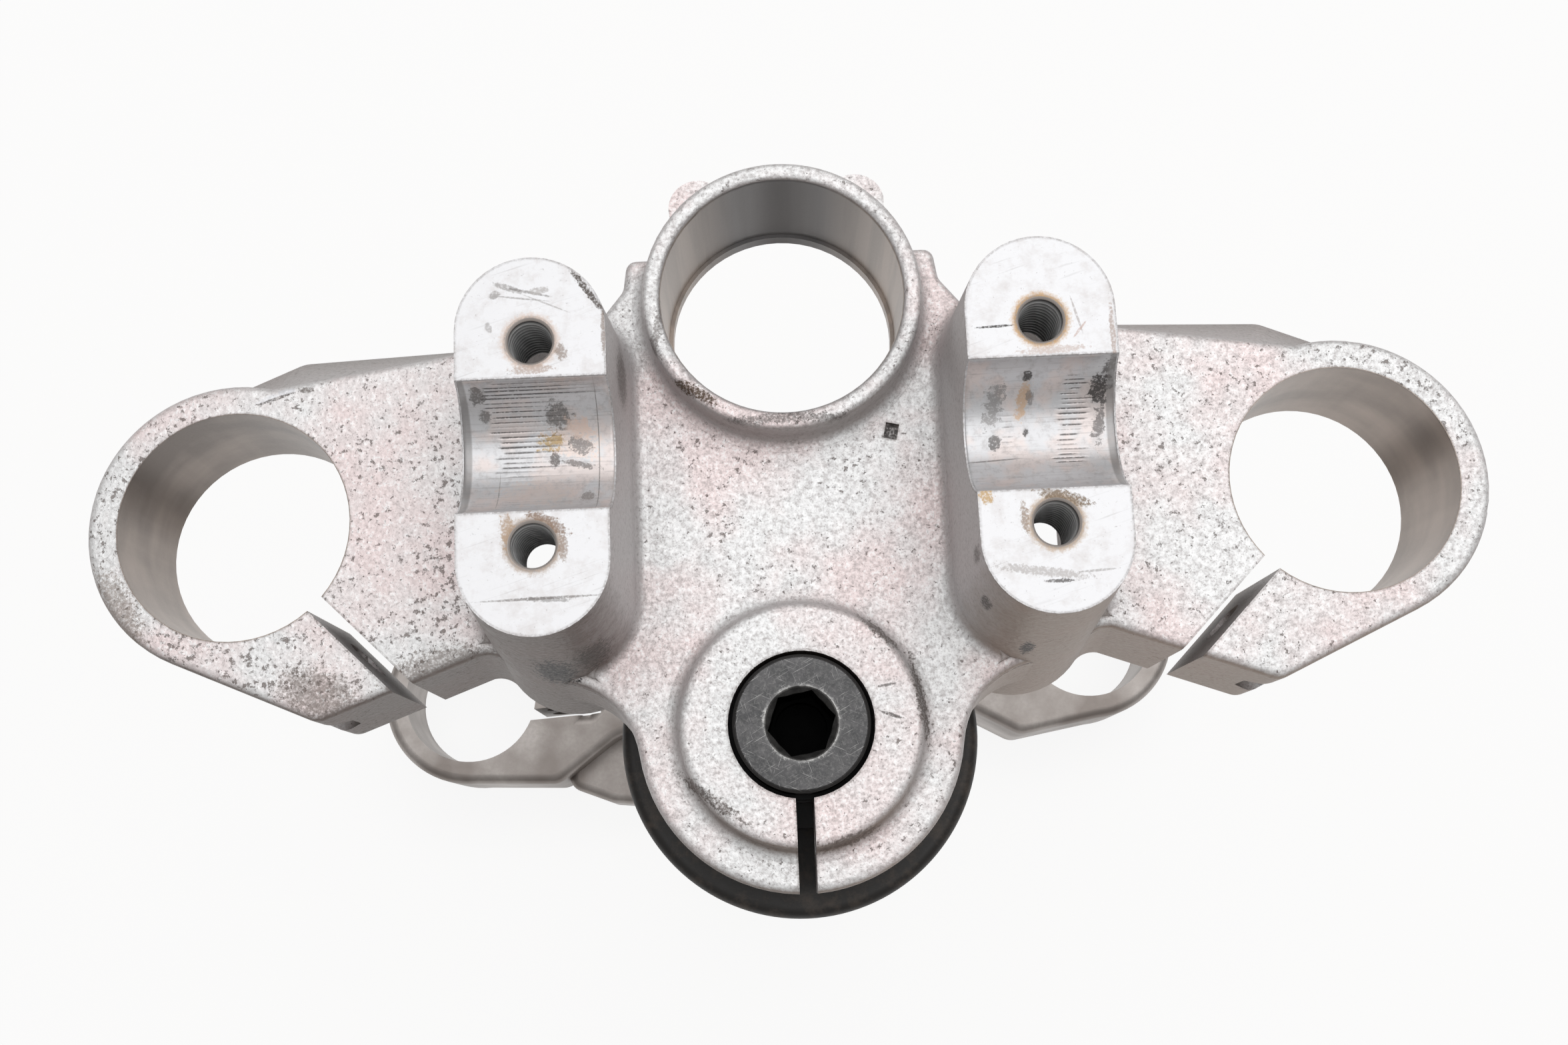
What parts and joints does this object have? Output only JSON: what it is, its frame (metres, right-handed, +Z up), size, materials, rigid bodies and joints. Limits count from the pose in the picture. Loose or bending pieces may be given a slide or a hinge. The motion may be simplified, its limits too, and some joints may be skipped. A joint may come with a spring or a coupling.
{
  "type": "motorcycle triple clamp",
  "caption": "Upper and lower fork clamps on a steering stem, with handlebar risers, an ignition switch ring and tapered head bearings.",
  "frame": {"origin": "steering axis at the lower clamp's bottom face", "axes": "+Z up the steering axis, +Y to the front of the motorcycle, +X to its right"},
  "size_m": [0.2525, 0.1388, 0.2974],
  "materials": {
    "silver_cast_aluminium": "blasted and silver painted casting, grainy",
    "satin_cast_aluminium": "smooth satin casting",
    "stem_steel": "turned steel",
    "dark_bolt_steel": "blackened steel, scratched",
    "black_nut_steel": "blackened steel",
    "black_cap_steel": "black paint, worn and dusty",
    "bearing_steel": "ground bearing steel",
    "cage_steel": "pressed sheet steel",
    "seal_rubber": "black rubber"
  },
  "bodies": {
    "clamp_set": {"upper_clamp": "silver_cast_aluminium", "lower_clamp": "satin_cast_aluminium", "steering_stem": "stem_steel", "stem_cap_bolt": "dark_bolt_steel", "bearing_adjuster_nut": "black_nut_steel", "upper_dust_cap": "black_cap_steel", "lower_dust_seal": "seal_rubber", "upper_bearing_race": "bearing_steel", "lower_bearing_race": "bearing_steel"},
    "upper_roller_cage": {"upper_bearing_cage": "cage_steel", "upper_bearing_roller_01": "bearing_steel", "upper_bearing_roller_02": "bearing_steel", "upper_bearing_roller_03": "bearing_steel", "upper_bearing_roller_04": "bearing_steel", "upper_bearing_roller_05": "bearing_steel", "upper_bearing_roller_06": "bearing_steel", "upper_bearing_roller_07": "bearing_steel", "upper_bearing_roller_08": "bearing_steel", "upper_bearing_roller_09": "bearing_steel", "upper_bearing_roller_10": "bearing_steel", "upper_bearing_roller_11": "bearing_steel", "upper_bearing_roller_12": "bearing_steel", "upper_bearing_roller_13": "bearing_steel", "upper_bearing_roller_14": "bearing_steel", "upper_bearing_roller_15": "bearing_steel", "upper_bearing_roller_16": "bearing_steel"},
    "lower_roller_cage": {"lower_bearing_cage": "cage_steel", "lower_bearing_roller_01": "bearing_steel", "lower_bearing_roller_02": "bearing_steel", "lower_bearing_roller_03": "bearing_steel", "lower_bearing_roller_04": "bearing_steel", "lower_bearing_roller_05": "bearing_steel", "lower_bearing_roller_06": "bearing_steel", "lower_bearing_roller_07": "bearing_steel", "lower_bearing_roller_08": "bearing_steel", "lower_bearing_roller_09": "bearing_steel", "lower_bearing_roller_10": "bearing_steel", "lower_bearing_roller_11": "bearing_steel", "lower_bearing_roller_12": "bearing_steel", "lower_bearing_roller_13": "bearing_steel", "lower_bearing_roller_14": "bearing_steel", "lower_bearing_roller_15": "bearing_steel", "lower_bearing_roller_16": "bearing_steel"}
  },
  "joints": [
    {"name": "upper_roller_cage_turn", "type": "hinge", "parent": "clamp_set", "child": "upper_roller_cage", "pos_m": [0, 0, 0.236], "axis": [0, 0, 1], "continuous": true},
    {"name": "lower_roller_cage_turn", "type": "hinge", "parent": "clamp_set", "child": "lower_roller_cage", "pos_m": [0, 0, 0.043], "axis": [0, 0, 1], "continuous": true}
  ]
}
